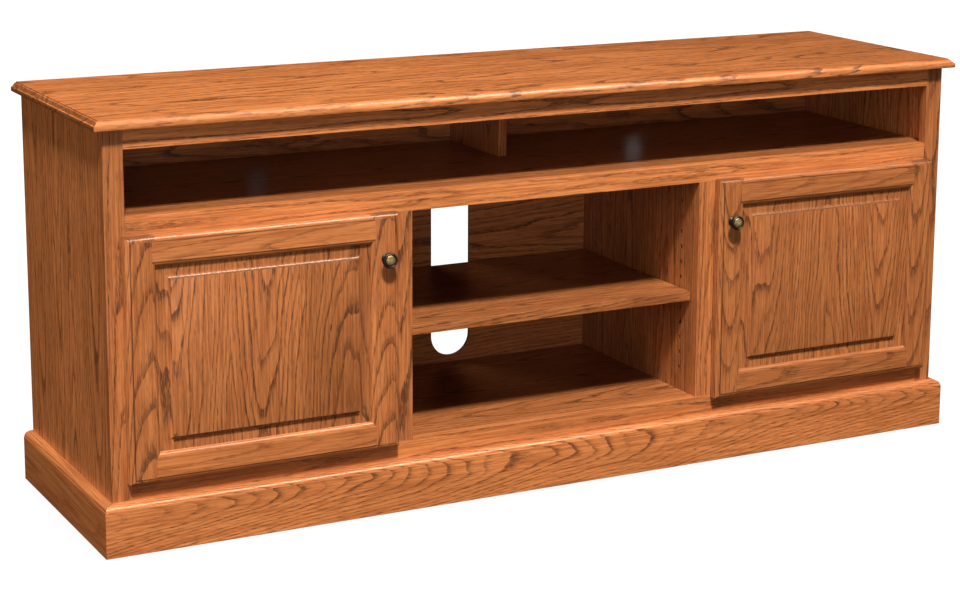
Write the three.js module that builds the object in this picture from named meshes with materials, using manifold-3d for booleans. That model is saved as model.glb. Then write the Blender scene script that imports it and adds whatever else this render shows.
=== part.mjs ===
// Oak media cabinet: a face-frame carcass on a moulded plinth, with an open device bay under the
// top, an open centre compartment with one adjustable shelf, and two raised-panel doors.
//
// Millimetres, +X right, +Y to the back, +Z up. The origin is on the floor, at the middle of the
// whole object's length and depth, knobs included.

import * as THREE from 'three';
import { mergeVertices } from 'three/addons/utils/BufferGeometryUtils.js';
import Module from 'manifold-3d';

const wasm = await Module();
wasm.setup();

// ---------------------------------------------------------------- driving dimensions

// The whole cabinet
const TOP_WIDTH = 1829;
const TOP_DEPTH = 508;
const TOP_THICKNESS = 18;
const TOP_OVERHANG = 19;
const BOARD = 18;
const FRAME_THICKNESS = 19;
const FRAME_MEMBER = 37;
const MULLION_WIDTH = 44;

// Heights, from the floor up
const PLINTH_HEIGHT = 95.5;
const LOWER_OPENING = 436;
const UPPER_OPENING = 119.5;
const BOTTOM_RAIL_HIDDEN = 39.5;

// The plinth moulding
const PLINTH_THICKNESS = 19;
const PLINTH_FACE_HEIGHT = 85;
const MITRE_GAP = 0.15;

// The open centre compartment
const CENTRE_WIDTH = 623;

// The back panel, let in ahead of the carcass's rear edge
const BACK_SETBACK = 31;
const BACK_THICKNESS = 6;
const CABLE_SLOT = { x: -8, width: 88, bottom: 146, top: 554 };
const CORD_HOLE = { radius: 22, aboveDeck: 63 };
const DIVIDER_SETBACK = 241;

// Adjustable shelves on concealed wires
const HOLE_PITCH = 31;
const HOLE_RADIUS = 2.5;
const HOLE_SIDES = 8;
const FIRST_HOLE_HEIGHT = 180;
const HOLE_ROWS = 12;
const SHELF_ROW = 5;
const HOLE_COLUMNS = [63, 410];
const BLIND_HOLE_DEPTH = 10;
const SHELF_END_GAP = 1.5;
const CENTRE_SHELF_SETBACK = 22.5;
const CUPBOARD_SHELF_SETBACK = 46;
const SHELF_REAR_GAP = 6;
const WIRE_RADIUS = 1.5;
const WIRE_STANDOFF = 5;
const WIRE_END_DEPTH = 8;
const WIRE_SIDES = 8;
const KERF = { height: 4, depth: 8.5, aheadOfHole: 13 };

// Doors
const DOOR_OVERLAY = { side: 8.5, end: 4 };
const DOOR_THICKNESS = 21;
const DOOR_GAP = 2;
const STILE_WIDTH = 56;
const RAIL_WIDTH = 54;
const STICKING = 8;
const GROOVE = { back: 6.625, front: 13, depth: 9 };
const COPE_GAP = 0.25;
const DOOR_EDGE = { width: 9, depth: 9, quirk: 1.2 };
const PANEL = {
  tongueBack: 7,
  tongueFront: 12.625,
  inGroove: 7.5,
  margin: 1,
  field: 19,
  slope: { width: 18, rise: 1.3 },
  cove: { width: 6.5, rise: 3.5 },
  shoulder: 2,
};

// Knobs and their screws
const KNOB = { fromEdge: 28, fromTop: 83, reach: 25, boreRadius: 2.5, boreDepth: 12 };
const SCREW = { radius: 2, length: 30, headRadius: 4.5, headHeight: 2.5 };

// Concealed hinges: radii are measured from the door's turning axis
const HINGE = { fromEnd: 80, cupInset: 22.5, pocketRadius: 17.5, pocketDepth: 12.5, strap: 12 };
const CUP = { radius: 17, wall: 1.25, depth: 12 };
const FLANGE = { width: 41, height: 52, thickness: 1.5, edge: 3 };
const PLATE = { thickness: 2, depth: 17, height: 44, fromFace: 1 };
const BRACKET = { inner: 1, outer: 6, front: 2.5, rear: 8 };
const ARM_ARC = { inner: 22.5, outer: 25, start: 3, end: 60 };
const LINK_ARC = { inner: 26, outer: 28.5, start: 4, end: 63 };
const NECK_ARC = { inner: 29.5, outer: 32, start: -1, end: 63 };

// Hidden structure
const CLEAT = { width: 60, thickness: 19 };
const FOOT_RAIL_THICKNESS = 18;
const CORNER_BLOCK = { leg: 60, height: 50 };

// ---------------------------------------------------------------- dimensions that follow

const HALF_WIDTH = TOP_WIDTH / 2 - TOP_OVERHANG;
const CARCASS_DEPTH = TOP_DEPTH - TOP_OVERHANG;
const KNOB_FRONT = DOOR_GAP + DOOR_THICKNESS + KNOB.reach;
const FACE_Y = KNOB_FRONT - (CARCASS_DEPTH + KNOB_FRONT) / 2;
const REAR_Y = FACE_Y + CARCASS_DEPTH;
const INSIDE_Y = FACE_Y + FRAME_THICKNESS;
const BACK_Y = REAR_Y - BACK_SETBACK;

const FLOOR_TOP = PLINTH_HEIGHT + FRAME_MEMBER;
const MID_RAIL_BOTTOM = FLOOR_TOP + LOWER_OPENING;
const DECK_TOP = MID_RAIL_BOTTOM + FRAME_MEMBER;
const TOP_RAIL_BOTTOM = DECK_TOP + UPPER_OPENING;
const CARCASS_TOP = TOP_RAIL_BOTTOM + FRAME_MEMBER;

const INNER_HALF = HALF_WIDTH - BOARD;
const STILE_EDGE = HALF_WIDTH - FRAME_MEMBER;
const CENTRE_HALF = CENTRE_WIDTH / 2;
const MULLION_EDGE = CENTRE_HALF + MULLION_WIDTH;
const PARTITION_EDGE = CENTRE_HALF + BOARD;
const BAY_CENTRE = (STILE_EDGE + BOARD / 2) / 2;

const DOOR_WIDTH = STILE_EDGE - MULLION_EDGE + 2 * DOOR_OVERLAY.side;
const DOOR_HEIGHT = LOWER_OPENING + 2 * DOOR_OVERLAY.end;
const DOOR_BOTTOM = FLOOR_TOP - DOOR_OVERLAY.end;
const DOOR_EDGE_X = STILE_EDGE + DOOR_OVERLAY.side;
const DOOR_BACK_Y = FACE_Y - DOOR_GAP;
const HINGE_HEIGHTS = { lower: HINGE.fromEnd, upper: DOOR_HEIGHT - HINGE.fromEnd };
const PIVOT_W = DOOR_THICKNESS / 2;
const SHELF_MIDDLE = FIRST_HOLE_HEIGHT + SHELF_ROW * HOLE_PITCH;

// ---------------------------------------------------------------- materials

function material(name, color, roughness, metalness) {
  return new THREE.MeshStandardMaterial({ name, color, roughness, metalness });
}

const OAK = material('oak', 0xc2753c, 0.35, 0);
const OAK_DECK = material('oak_deck', 0xa96030, 0.3, 0);
const OAK_BACK = material('oak_back', 0xb06a38, 0.35, 0);
const BARE_WOOD = material('bare_wood', 0xc9a877, 0.7, 0);
const STEEL = material('steel', 0xb9bbbd, 0.3, 1);
const BRASS = material('brass', 0x6f5a35, 0.35, 1);

// ---------------------------------------------------------------- solids

const X = new THREE.Vector3(1, 0, 0);
const Y = new THREE.Vector3(0, 1, 0);
const Z = new THREE.Vector3(0, 0, 1);
const basis = (x, y, z) => new THREE.Matrix4().makeBasis(x, y, z);
const ALONG_X = basis(Y, Z, X);
const ALONG_Y = basis(Z, X, Y);
const ALONG_Z = basis(X, Y, Z);
const TURNED_TO_FRONT = basis(X, Y.clone().negate(), Z.clone().negate());

// A closed three.js geometry as a solid that can be cut and joined
function solidOf(geometry) {
  geometry.deleteAttribute('normal');
  geometry.deleteAttribute('uv');
  const merged = mergeVertices(geometry);
  const index = Array.from(merged.index.array);
  const corners = [];
  for (let i = 0; i < index.length; i += 3) {
    const [a, b, c] = index.slice(i, i + 3);
    if (a !== b && b !== c && c !== a) corners.push(a, b, c);
  }
  const mesh = new wasm.Mesh({
    numProp: 3,
    vertProperties: new Float32Array(merged.attributes.position.array),
    triVerts: new Uint32Array(corners),
  });
  return new wasm.Manifold(mesh);
}

function geometryOf(solid) {
  const { vertProperties, triVerts } = solid.getMesh();
  const geometry = new THREE.BufferGeometry();
  geometry.setAttribute('position', new THREE.BufferAttribute(vertProperties, 3));
  geometry.setIndex(new THREE.BufferAttribute(triVerts, 1));
  geometry.computeVertexNormals();
  return geometry;
}

// A board between two opposite corners
function block([x0, y0, z0], [x1, y1, z1]) {
  const geometry = new THREE.BoxGeometry(x1 - x0, y1 - y0, z1 - z0);
  return solidOf(geometry.translate((x0 + x1) / 2, (y0 + y1) / 2, (z0 + z1) / 2));
}

function extrude(outline, from, to, direction) {
  const shape = new THREE.Shape(outline.map(([a, b]) => new THREE.Vector2(a, b)));
  const geometry = new THREE.ExtrudeGeometry(shape, { depth: to - from, bevelEnabled: false });
  return solidOf(geometry.translate(0, 0, from).applyMatrix4(direction));
}

// An outline in (y, z) run along X, in (x, z) run along Y, and in (x, y) run along Z
const alongX = (outline, from, to) => extrude(outline, from, to, ALONG_X);
const alongY = (outline, from, to) => extrude(outline.map(([x, z]) => [z, x]), from, to, ALONG_Y);
const alongZ = (outline, from, to) => extrude(outline, from, to, ALONG_Z);

function rodAlongX(radius, [x0, x1], y, z, sides = 12) {
  const geometry = new THREE.CylinderGeometry(radius, radius, x1 - x0, sides);
  return solidOf(geometry.rotateZ(-Math.PI / 2).translate((x0 + x1) / 2, y, z));
}

function rodAlongY(radius, [y0, y1], x, z, sides = 24) {
  const geometry = new THREE.CylinderGeometry(radius, radius, y1 - y0, sides);
  return solidOf(geometry.translate(x, (y0 + y1) / 2, z));
}

// A turned piece whose axis points to the front: the profile is in (radius, distance forward)
function turned(profile, sides) {
  const points = profile.map(([radius, forward]) => new THREE.Vector2(radius, forward));
  return solidOf(new THREE.LatheGeometry(points, sides).applyMatrix4(TURNED_TO_FRONT));
}

// A flat strap bent round the origin, between two angles in degrees in plan, centred on z = 0
function arcStrap({ inner, outer, start, end }, height) {
  const steps = 10;
  const at = (radius, i) => {
    const angle = THREE.MathUtils.degToRad(start + ((end - start) * i) / steps);
    return [radius * Math.cos(angle), radius * Math.sin(angle)];
  };
  const outside = [];
  const inside = [];
  for (let i = 0; i <= steps; i += 1) {
    outside.push(at(outer, i));
    inside.unshift(at(inner, i));
  }
  return alongZ([...outside, ...inside], -height / 2, height / 2);
}

// Points of a cyma curve from one point to another, both included
function cyma([a0, b0], [a1, b1], steps = 8) {
  const points = [];
  for (let i = 0; i <= steps; i += 1) {
    const t = i / steps;
    points.push([a0 + (a1 - a0) * t, b0 + (b1 - b0) * t * t * (3 - 2 * t)]);
  }
  return points;
}

// Points of a convex quarter round from a point on the face to a point on the edge
function quarterRound([a0, b0], [a1, b1], steps = 6) {
  const points = [];
  for (let i = 0; i <= steps; i += 1) {
    const angle = (Math.PI / 2) * (i / steps);
    points.push([a0 + (a1 - a0) * Math.sin(angle), b1 + (b0 - b1) * Math.cos(angle)]);
  }
  return points;
}

// Points of a concave quarter round that ends level, from a steep point down to a flat one
function quarterCove([a0, b0], [a1, b1], steps = 6) {
  const points = [];
  for (let i = 0; i <= steps; i += 1) {
    const angle = (Math.PI / 2) * (i / steps);
    points.push([a1 + (a0 - a1) * Math.cos(angle), b0 + (b1 - b0) * Math.sin(angle)]);
  }
  return points;
}

// A closed outline of a slab's section, `width` wide, from half profiles for each of its sides.
// A profile runs from the slab's face out to its edge and down to its back, as (inset, height).
function slabOutline(width, left, right) {
  const rightSide = right.map(([inset, height]) => [width - inset, height]);
  return [...left, ...rightSide.reverse()];
}

// ---------------------------------------------------------------- building the scene

const cabinet = new THREE.Group();

function add(name, solid, finish, parent = cabinet) {
  const mesh = new THREE.Mesh(geometryOf(solid), finish);
  mesh.name = name;
  parent.add(mesh);
  return mesh;
}

function board(name, low, high, finish = OAK) {
  return add(name, block(low, high), finish);
}

// The two hands of a pair: x is given for the right one, and `side` turns it over for the left
const HANDS = [['left', -1], ['right', 1]];
const spanX = (side, a, b) => [Math.min(side * a, side * b), Math.max(side * a, side * b)];

// ---------------------------------------------------------------- top

function topEdgeProfile() {
  const arris = 10;
  const quirk = 1;
  const lip = 8.5;
  return [
    [arris, TOP_THICKNESS],
    [arris, TOP_THICKNESS - quirk],
    ...cyma([arris - quirk / 2, TOP_THICKNESS - quirk], [1, lip + 0.5]),
    [0, lip],
    [0, 1],
    [1, 0],
  ];
}

function makeTop() {
  const moulded = topEdgeProfile();
  const square = [[0, TOP_THICKNESS], [0, 0]];
  const lengthwise = alongX(slabOutline(TOP_DEPTH, moulded, square), 0, TOP_WIDTH);
  const crosswise = alongY(slabOutline(TOP_WIDTH, moulded, moulded), 0, TOP_DEPTH);
  const slab = add('top_slab', lengthwise.intersect(crosswise), OAK);
  slab.position.set(-TOP_WIDTH / 2, FACE_Y - TOP_OVERHANG, CARCASS_TOP);
}

// ---------------------------------------------------------------- carcass

function holeHeights() {
  return Array.from({ length: HOLE_ROWS }, (_, row) => FIRST_HOLE_HEIGHT + row * HOLE_PITCH);
}

// Two columns of shelf holes bored through the span given in x
function boreShelfHoles(solid, span) {
  let bored = solid;
  for (const column of HOLE_COLUMNS) {
    for (const height of holeHeights()) {
      bored = bored.subtract(rodAlongX(HOLE_RADIUS, span, FACE_Y + column, height, HOLE_SIDES));
    }
  }
  return bored;
}

function makeSides() {
  for (const [hand, side] of HANDS) {
    const [x0, x1] = spanX(side, INNER_HALF, HALF_WIDTH);
    const panel = block([x0, INSIDE_Y, 0], [x1, REAR_Y, CARCASS_TOP]);
    const holes = spanX(side, INNER_HALF - 1, INNER_HALF + BLIND_HOLE_DEPTH);
    add(`${hand}_side`, boreShelfHoles(panel, holes), OAK);
  }
}

function makePartitions() {
  for (const [hand, side] of HANDS) {
    const [x0, x1] = spanX(side, CENTRE_HALF, PARTITION_EDGE);
    const panel = block([x0, INSIDE_Y, FLOOR_TOP], [x1, BACK_Y, DECK_TOP - BOARD]);
    add(`${hand}_partition`, boreShelfHoles(panel, [x0 - 1, x1 + 1]), OAK);
  }
}

function makeDecks() {
  const low = (z) => [-INNER_HALF, INSIDE_Y, z - BOARD];
  const high = (z) => [INNER_HALF, BACK_Y, z];
  board('upper_deck', low(DECK_TOP), high(DECK_TOP), OAK_DECK);
  board('bottom_deck', low(FLOOR_TOP), high(FLOOR_TOP), OAK_DECK);
}

function makeDivider() {
  const half = BOARD / 2;
  const top = CARCASS_TOP - CLEAT.thickness;
  board('upper_divider', [-half, FACE_Y + DIVIDER_SETBACK, DECK_TOP], [half, BACK_Y, top]);
}

// An upright slot with round ends, cut through the back panel
function cableSlot(span) {
  const { x, width, bottom, top } = CABLE_SLOT;
  const radius = width / 2;
  const middle = block([x - radius, span[0], bottom + radius], [x + radius, span[1], top - radius]);
  const lower = rodAlongY(radius, span, x, bottom + radius, 32);
  const upper = rodAlongY(radius, span, x, top - radius, 32);
  return middle.add(lower).add(upper);
}

function makeBack() {
  const foot = FLOOR_TOP - BOARD;
  const panel = block([-INNER_HALF, BACK_Y, foot], [INNER_HALF, BACK_Y + BACK_THICKNESS, CARCASS_TOP]);
  const through = [BACK_Y - 1, BACK_Y + BACK_THICKNESS + 1];
  let cut = panel.subtract(cableSlot(through));
  for (const side of [-1, 1]) {
    const height = DECK_TOP + CORD_HOLE.aboveDeck;
    cut = cut.subtract(rodAlongY(CORD_HOLE.radius, through, side * BAY_CENTRE, height, 24));
  }
  add('back_panel', cut, OAK_BACK);
}

// ---------------------------------------------------------------- face frame

function makeFaceFrame() {
  const member = (name, [x0, x1], z0, z1) => board(name, [x0, FACE_Y, z0], [x1, INSIDE_Y, z1]);
  const between = [-STILE_EDGE, STILE_EDGE];
  for (const [hand, side] of HANDS) {
    member(`${hand}_stile`, spanX(side, STILE_EDGE, HALF_WIDTH), 0, CARCASS_TOP);
    member(`${hand}_mullion`, spanX(side, CENTRE_HALF, MULLION_EDGE), FLOOR_TOP, MID_RAIL_BOTTOM);
  }
  member('top_rail', between, TOP_RAIL_BOTTOM, CARCASS_TOP);
  member('mid_rail', between, MID_RAIL_BOTTOM, DECK_TOP);
  member('bottom_rail', between, PLINTH_HEIGHT - BOTTOM_RAIL_HIDDEN, FLOOR_TOP);
}

// ---------------------------------------------------------------- plinth

// The plinth's section as (distance out from the carcass, height)
function plinthProfile() {
  const shelf = 4;
  const quirk = 1.2;
  const roundFoot = PLINTH_FACE_HEIGHT + 1;
  return [
    [0, 0],
    [PLINTH_THICKNESS, 0],
    [PLINTH_THICKNESS, PLINTH_FACE_HEIGHT],
    [PLINTH_THICKNESS - quirk, PLINTH_FACE_HEIGHT],
    ...quarterRound([shelf, PLINTH_HEIGHT], [PLINTH_THICKNESS - quirk, roundFoot]).reverse(),
    [0, PLINTH_HEIGHT],
  ];
}

function makePlinth() {
  const outer = HALF_WIDTH + PLINTH_THICKNESS;
  const front = FACE_Y - PLINTH_THICKNESS;
  const profile = plinthProfile();

  const frontBoard = alongX(profile.map(([out, z]) => [FACE_Y - out, z]), -outer, outer);
  const mitredEnds = [
    [-outer + MITRE_GAP, front],
    [outer - MITRE_GAP, front],
    [HALF_WIDTH - MITRE_GAP, FACE_Y],
    [-HALF_WIDTH + MITRE_GAP, FACE_Y],
  ];
  add('plinth_front', frontBoard.intersect(alongZ(mitredEnds, 0, PLINTH_HEIGHT)), OAK);

  for (const [hand, side] of HANDS) {
    const section = profile.map(([out, z]) => [side * (HALF_WIDTH + out), z]);
    const sideBoard = alongY(section, front, REAR_Y);
    const mitredEnd = [
      [side * outer, front + MITRE_GAP],
      [side * outer, REAR_Y],
      [side * HALF_WIDTH, REAR_Y],
      [side * HALF_WIDTH, FACE_Y + MITRE_GAP],
    ];
    add(`plinth_${hand}`, sideBoard.intersect(alongZ(mitredEnd, 0, PLINTH_HEIGHT)), OAK);
  }
}

// ---------------------------------------------------------------- hidden structure

function makeHiddenFraming() {
  const foot = FLOOR_TOP - BOARD;
  const cleatBottom = CARCASS_TOP - CLEAT.thickness;
  const rearFoot = BACK_Y - FOOT_RAIL_THICKNESS;
  const half = FOOT_RAIL_THICKNESS / 2;
  board('top_cleat_front', [-INNER_HALF, INSIDE_Y, cleatBottom],
    [INNER_HALF, INSIDE_Y + CLEAT.width, CARCASS_TOP], BARE_WOOD);
  board('top_cleat_rear', [-INNER_HALF, BACK_Y - CLEAT.width, cleatBottom],
    [INNER_HALF, BACK_Y, CARCASS_TOP], BARE_WOOD);
  board('rear_foot_rail', [-INNER_HALF, rearFoot, 0], [INNER_HALF, BACK_Y, foot], BARE_WOOD);
  board('centre_foot', [-half, INSIDE_Y, 0], [half, rearFoot, foot], BARE_WOOD);
}

// Triangular blocks that stiffen the two front corners under the bottom deck
function makeCornerBlocks() {
  const top = FLOOR_TOP - BOARD;
  for (const [hand, side] of HANDS) {
    const corner = side * INNER_HALF;
    const outline = [
      [corner, INSIDE_Y],
      [corner - side * CORNER_BLOCK.leg, INSIDE_Y],
      [corner, INSIDE_Y + CORNER_BLOCK.leg],
    ];
    add(`${hand}_corner_block`, alongZ(outline, top - CORNER_BLOCK.height, top), BARE_WOOD);
  }
}

// ---------------------------------------------------------------- shelves

// A bent wire whose two ends plug into a panel at `wallX` and whose long leg carries the shelf.
// `into` is the direction from the shelf into the panel.
function shelfWire(wallX, into) {
  const [front, rear] = HOLE_COLUMNS.map((column) => FACE_Y + column);
  const legX = wallX - into * WIRE_STANDOFF;
  const endSpan = [legX, wallX + into * WIRE_END_DEPTH].sort((a, b) => a - b);
  const frontEnd = rodAlongX(WIRE_RADIUS, endSpan, front, SHELF_MIDDLE, WIRE_SIDES);
  const rearEnd = rodAlongX(WIRE_RADIUS, endSpan, rear, SHELF_MIDDLE, WIRE_SIDES);
  const legSpan = [front - WIRE_RADIUS, rear + WIRE_RADIUS];
  const leg = rodAlongY(WIRE_RADIUS, legSpan, legX, SHELF_MIDDLE, WIRE_SIDES);
  return leg.add(frontEnd).add(rearEnd);
}

// A shelf whose ends have a stopped kerf that slides over the wires
function shelfBoard([x0, x1], setback) {
  const z0 = SHELF_MIDDLE - BOARD / 2;
  const y0 = FACE_Y + setback;
  const y1 = BACK_Y - SHELF_REAR_GAP;
  const kerfFront = FACE_Y + HOLE_COLUMNS[0] - KERF.aheadOfHole;
  const halfKerf = KERF.height / 2;
  let shelf = block([x0, y0, z0], [x1, y1, z0 + BOARD]);
  for (const [a, b] of [[x0 - 1, x0 + KERF.depth], [x1 - KERF.depth, x1 + 1]]) {
    const low = [a, kerfFront, SHELF_MIDDLE - halfKerf];
    shelf = shelf.subtract(block(low, [b, y1 + 1, SHELF_MIDDLE + halfKerf]));
  }
  return shelf;
}

function makeShelf(name, [wallLeft, wallRight], setback) {
  const span = [wallLeft + SHELF_END_GAP, wallRight - SHELF_END_GAP];
  add(name, shelfBoard(span, setback), OAK);
  add(`${name}_wire_left`, shelfWire(wallLeft, -1), STEEL);
  add(`${name}_wire_right`, shelfWire(wallRight, 1), STEEL);
}

function makeShelves() {
  makeShelf('centre_shelf', [-CENTRE_HALF, CENTRE_HALF], CENTRE_SHELF_SETBACK);
  makeShelf('left_shelf', [-INNER_HALF, -PARTITION_EDGE], CUPBOARD_SHELF_SETBACK);
  makeShelf('right_shelf', [PARTITION_EDGE, INNER_HALF], CUPBOARD_SHELF_SETBACK);
}

// ---------------------------------------------------------------- doors
//
// A door is drawn in its own frame: x from its left edge, z from its bottom edge, and y = 0 on its
// back, so its face is at y = -DOOR_THICKNESS.

const forward = (outline) => outline.map(([a, w]) => [a, -w]);

function doorEdgeProfile() {
  const { width, depth, quirk } = DOOR_EDGE;
  const face = DOOR_THICKNESS;
  return [
    [width, face],
    [width, face - quirk],
    ...quarterRound([width - quirk / 2, face - quirk], [0, face - depth]),
    [0, 0],
  ];
}

// The raised panel's edge: a tongue, a low slope, a cove and a round shoulder up to the field
function panelProfile() {
  const { tongueBack, tongueFront, inGroove, margin, field, slope, cove, shoulder } = PANEL;
  const slopeStart = [inGroove + margin, tongueFront + 0.4];
  const coveStart = [slopeStart[0] + slope.width, slopeStart[1] + slope.rise];
  const coveEnd = [coveStart[0] + cove.width, coveStart[1] + cove.rise];
  return [
    ...quarterRound([coveEnd[0] + shoulder, field], coveEnd, 4),
    ...quarterCove(coveEnd, coveStart, 4).slice(1),
    slopeStart,
    [slopeStart[0], tongueFront],
    [0, tongueFront],
    [0, tongueBack],
  ];
}

// A slab moulded alike on all four sides, standing up with its face to the front
function mouldedUpright(width, height, profile) {
  const plan = forward(slabOutline(width, profile, profile));
  const section = slabOutline(height, profile, profile).map(([z, w]) => [-w, z]);
  return alongZ(plan, 0, height).intersect(alongX(section, 0, width));
}

// A frame member's section, from its outer edge to the moulded, grooved inner edge
function memberSection(width) {
  const face = DOOR_THICKNESS;
  const arris = width - STICKING;
  const lip = GROOVE.front + 0.5;
  return [
    [0, 0],
    [0, face],
    [arris, face],
    [arris, face - 1],
    ...quarterRound([arris + 0.5, face - 1], [width - 0.5, lip + 0.5]),
    [width, lip],
    [width, GROOVE.front],
    [width - GROOVE.depth, GROOVE.front],
    [width - GROOVE.depth, GROOVE.back],
    [width, GROOVE.back],
    [width, 0],
  ];
}

function stileSolid(isRight) {
  const place = ([u, w]) => [isRight ? DOOR_WIDTH - u : u, w];
  return alongZ(forward(memberSection(STILE_WIDTH).map(place)), 0, DOOR_HEIGHT);
}

// A rail, with its ends coped to fit over the stiles' moulding and tongued into their grooves
function railSolid(isTop) {
  const place = ([u, w]) => [-w, isTop ? DOOR_HEIGHT - u : u];
  const reach = STILE_WIDTH - STICKING;
  let rail = alongX(memberSection(RAIL_WIDTH).map(place), reach, DOOR_WIDTH - reach);
  for (const isRight of [false, true]) {
    const towardsRail = isRight ? -COPE_GAP : COPE_GAP;
    for (const shift of [-COPE_GAP, COPE_GAP]) {
      rail = rail.subtract(stileSolid(isRight).translate([towardsRail, shift, 0]));
    }
  }
  return rail;
}

function knobSolid() {
  return turned([
    [0, KNOB.boreDepth],
    [KNOB.boreRadius, KNOB.boreDepth],
    [KNOB.boreRadius, 0],
    [9, 0],
    [9, 1.5],
    [7, 3.5],
    [6.25, 6.5],
    [7, 10],
    [11, 13],
    [14, 15],
    [14.5, 17],
    [14, 19.5],
    [12.5, 21],
    [11, 21],
    [10, 20],
    [8, 22],
    [4.5, 24],
    [0, KNOB.reach],
  ], 20);
}

function screwSolid() {
  const { radius, length, headRadius, headHeight } = SCREW;
  return turned([
    [0, -headHeight],
    [headRadius * 0.7, -headHeight],
    [headRadius, -headHeight / 2],
    [headRadius, 0],
    [radius, 0],
    [radius, length],
    [0, length],
  ], 12);
}

// The cup with its flange and the bent neck that grows out of it. The origin is on the door's
// turning axis, +x runs into the door and +y out of its back.
function hingeCup() {
  const mouth = DOOR_THICKNESS - PIVOT_W;
  const { radius, wall, depth } = CUP;
  const bottom = depth - mouth;
  const cup = turned([
    [0, bottom - wall],
    [radius - wall, bottom - wall],
    [radius - wall, -mouth],
    [radius, -mouth],
    [radius, bottom],
    [0, bottom],
  ], 20).translate([HINGE.cupInset, 0, 0]);
  const half = FLANGE.height / 2;
  const back = mouth + FLANGE.thickness;
  const flange = block([FLANGE.edge, mouth, -half], [FLANGE.edge + FLANGE.width, back, half]);
  const opening = rodAlongY(radius - wall, [mouth - 1, back + 1], HINGE.cupInset, 0, 20);
  return cup.add(flange.subtract(opening)).add(arcStrap(NECK_ARC, HINGE.strap));
}

// The plate screwed to the edge of the cabinet's stile, with its short bent arm
function hingePlate() {
  const wallX = DOOR_OVERLAY.side;
  const frameY = DOOR_THICKNESS - PIVOT_W + DOOR_GAP;
  const y0 = frameY + PLATE.fromFace;
  const half = PLATE.height / 2;
  const plate = block([wallX, y0, -half], [wallX + PLATE.thickness, y0 + PLATE.depth, half]);
  const armHalf = HINGE.strap / 2;
  const low = [wallX + BRACKET.inner, frameY + BRACKET.front, -armHalf];
  const bracket = block(low, [wallX + BRACKET.outer, frameY + BRACKET.rear, armHalf]);
  return plate.add(bracket).add(arcStrap(ARM_ARC, HINGE.strap));
}

// A hinge piece drawn for the left door; for the right door it is turned over in x
function handed(solid, isRight) {
  return isRight ? solid.mirror([1, 0, 0]) : solid;
}

function makeHinges(hand, isRight, pivot) {
  for (const [place, height] of Object.entries(HINGE_HEIGHTS)) {
    const pieces = {
      plate: hingePlate(),
      link: arcStrap(LINK_ARC, HINGE.strap),
      cup: hingeCup(),
    };
    for (const [part, solid] of Object.entries(pieces)) {
      const mesh = add(`${hand}_${place}_hinge_${part}`, handed(solid, isRight), STEEL, pivot);
      mesh.position.z = height;
    }
  }
}

// The pockets for the hinge cups, in the back of the stile that hangs on the hinges
function cutHingePockets(stile, isRight) {
  const x = isRight ? DOOR_WIDTH - HINGE.cupInset : HINGE.cupInset;
  let cut = stile;
  for (const height of Object.values(HINGE_HEIGHTS)) {
    cut = cut.subtract(rodAlongY(HINGE.pocketRadius, [-HINGE.pocketDepth, 1], x, height, 24));
  }
  return cut;
}

function makeDoor(hand, side) {
  const isRight = side > 0;
  const door = new THREE.Group();
  door.position.set(isRight ? DOOR_EDGE_X - DOOR_WIDTH : -DOOR_EDGE_X, DOOR_BACK_Y, DOOR_BOTTOM);
  cabinet.add(door);

  const blank = mouldedUpright(DOOR_WIDTH, DOOR_HEIGHT, doorEdgeProfile());
  const knobX = isRight ? KNOB.fromEdge : DOOR_WIDTH - KNOB.fromEdge;
  const knobZ = DOOR_HEIGHT - KNOB.fromTop;
  const screwHole = rodAlongY(KNOB.boreRadius, [-DOOR_THICKNESS - 1, 1], knobX, knobZ, 12);

  const hingeStile = cutHingePockets(stileSolid(isRight), isRight);
  add(`${hand}_door_hinge_stile`, hingeStile.intersect(blank), OAK, door);
  add(`${hand}_door_lock_stile`, stileSolid(!isRight).intersect(blank).subtract(screwHole), OAK, door);
  add(`${hand}_door_top_rail`, railSolid(true).intersect(blank), OAK, door);
  add(`${hand}_door_bottom_rail`, railSolid(false).intersect(blank), OAK, door);

  const insetX = STILE_WIDTH - PANEL.inGroove;
  const insetZ = RAIL_WIDTH - PANEL.inGroove;
  const raised = mouldedUpright(DOOR_WIDTH - 2 * insetX, DOOR_HEIGHT - 2 * insetZ, panelProfile());
  add(`${hand}_door_panel`, raised, OAK, door).position.set(insetX, 0, insetZ);

  add(`${hand}_knob`, knobSolid(), BRASS, door).position.set(knobX, -DOOR_THICKNESS, knobZ);
  add(`${hand}_knob_screw`, screwSolid(), STEEL, door).position.set(knobX, 0, knobZ);

  const pivot = new THREE.Group();
  pivot.position.set(isRight ? DOOR_WIDTH : 0, -PIVOT_W, 0);
  door.add(pivot);
  makeHinges(hand, isRight, pivot);
}

// ---------------------------------------------------------------- the object

makeTop();
makeSides();
makePartitions();
makeDecks();
makeDivider();
makeBack();
makeFaceFrame();
makePlinth();
makeHiddenFraming();
makeCornerBlocks();
makeShelves();
for (const [hand, side] of HANDS) makeDoor(hand, side);

export default cabinet;
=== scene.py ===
import math

import bmesh
import bpy
from mathutils import Matrix, Vector


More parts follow.
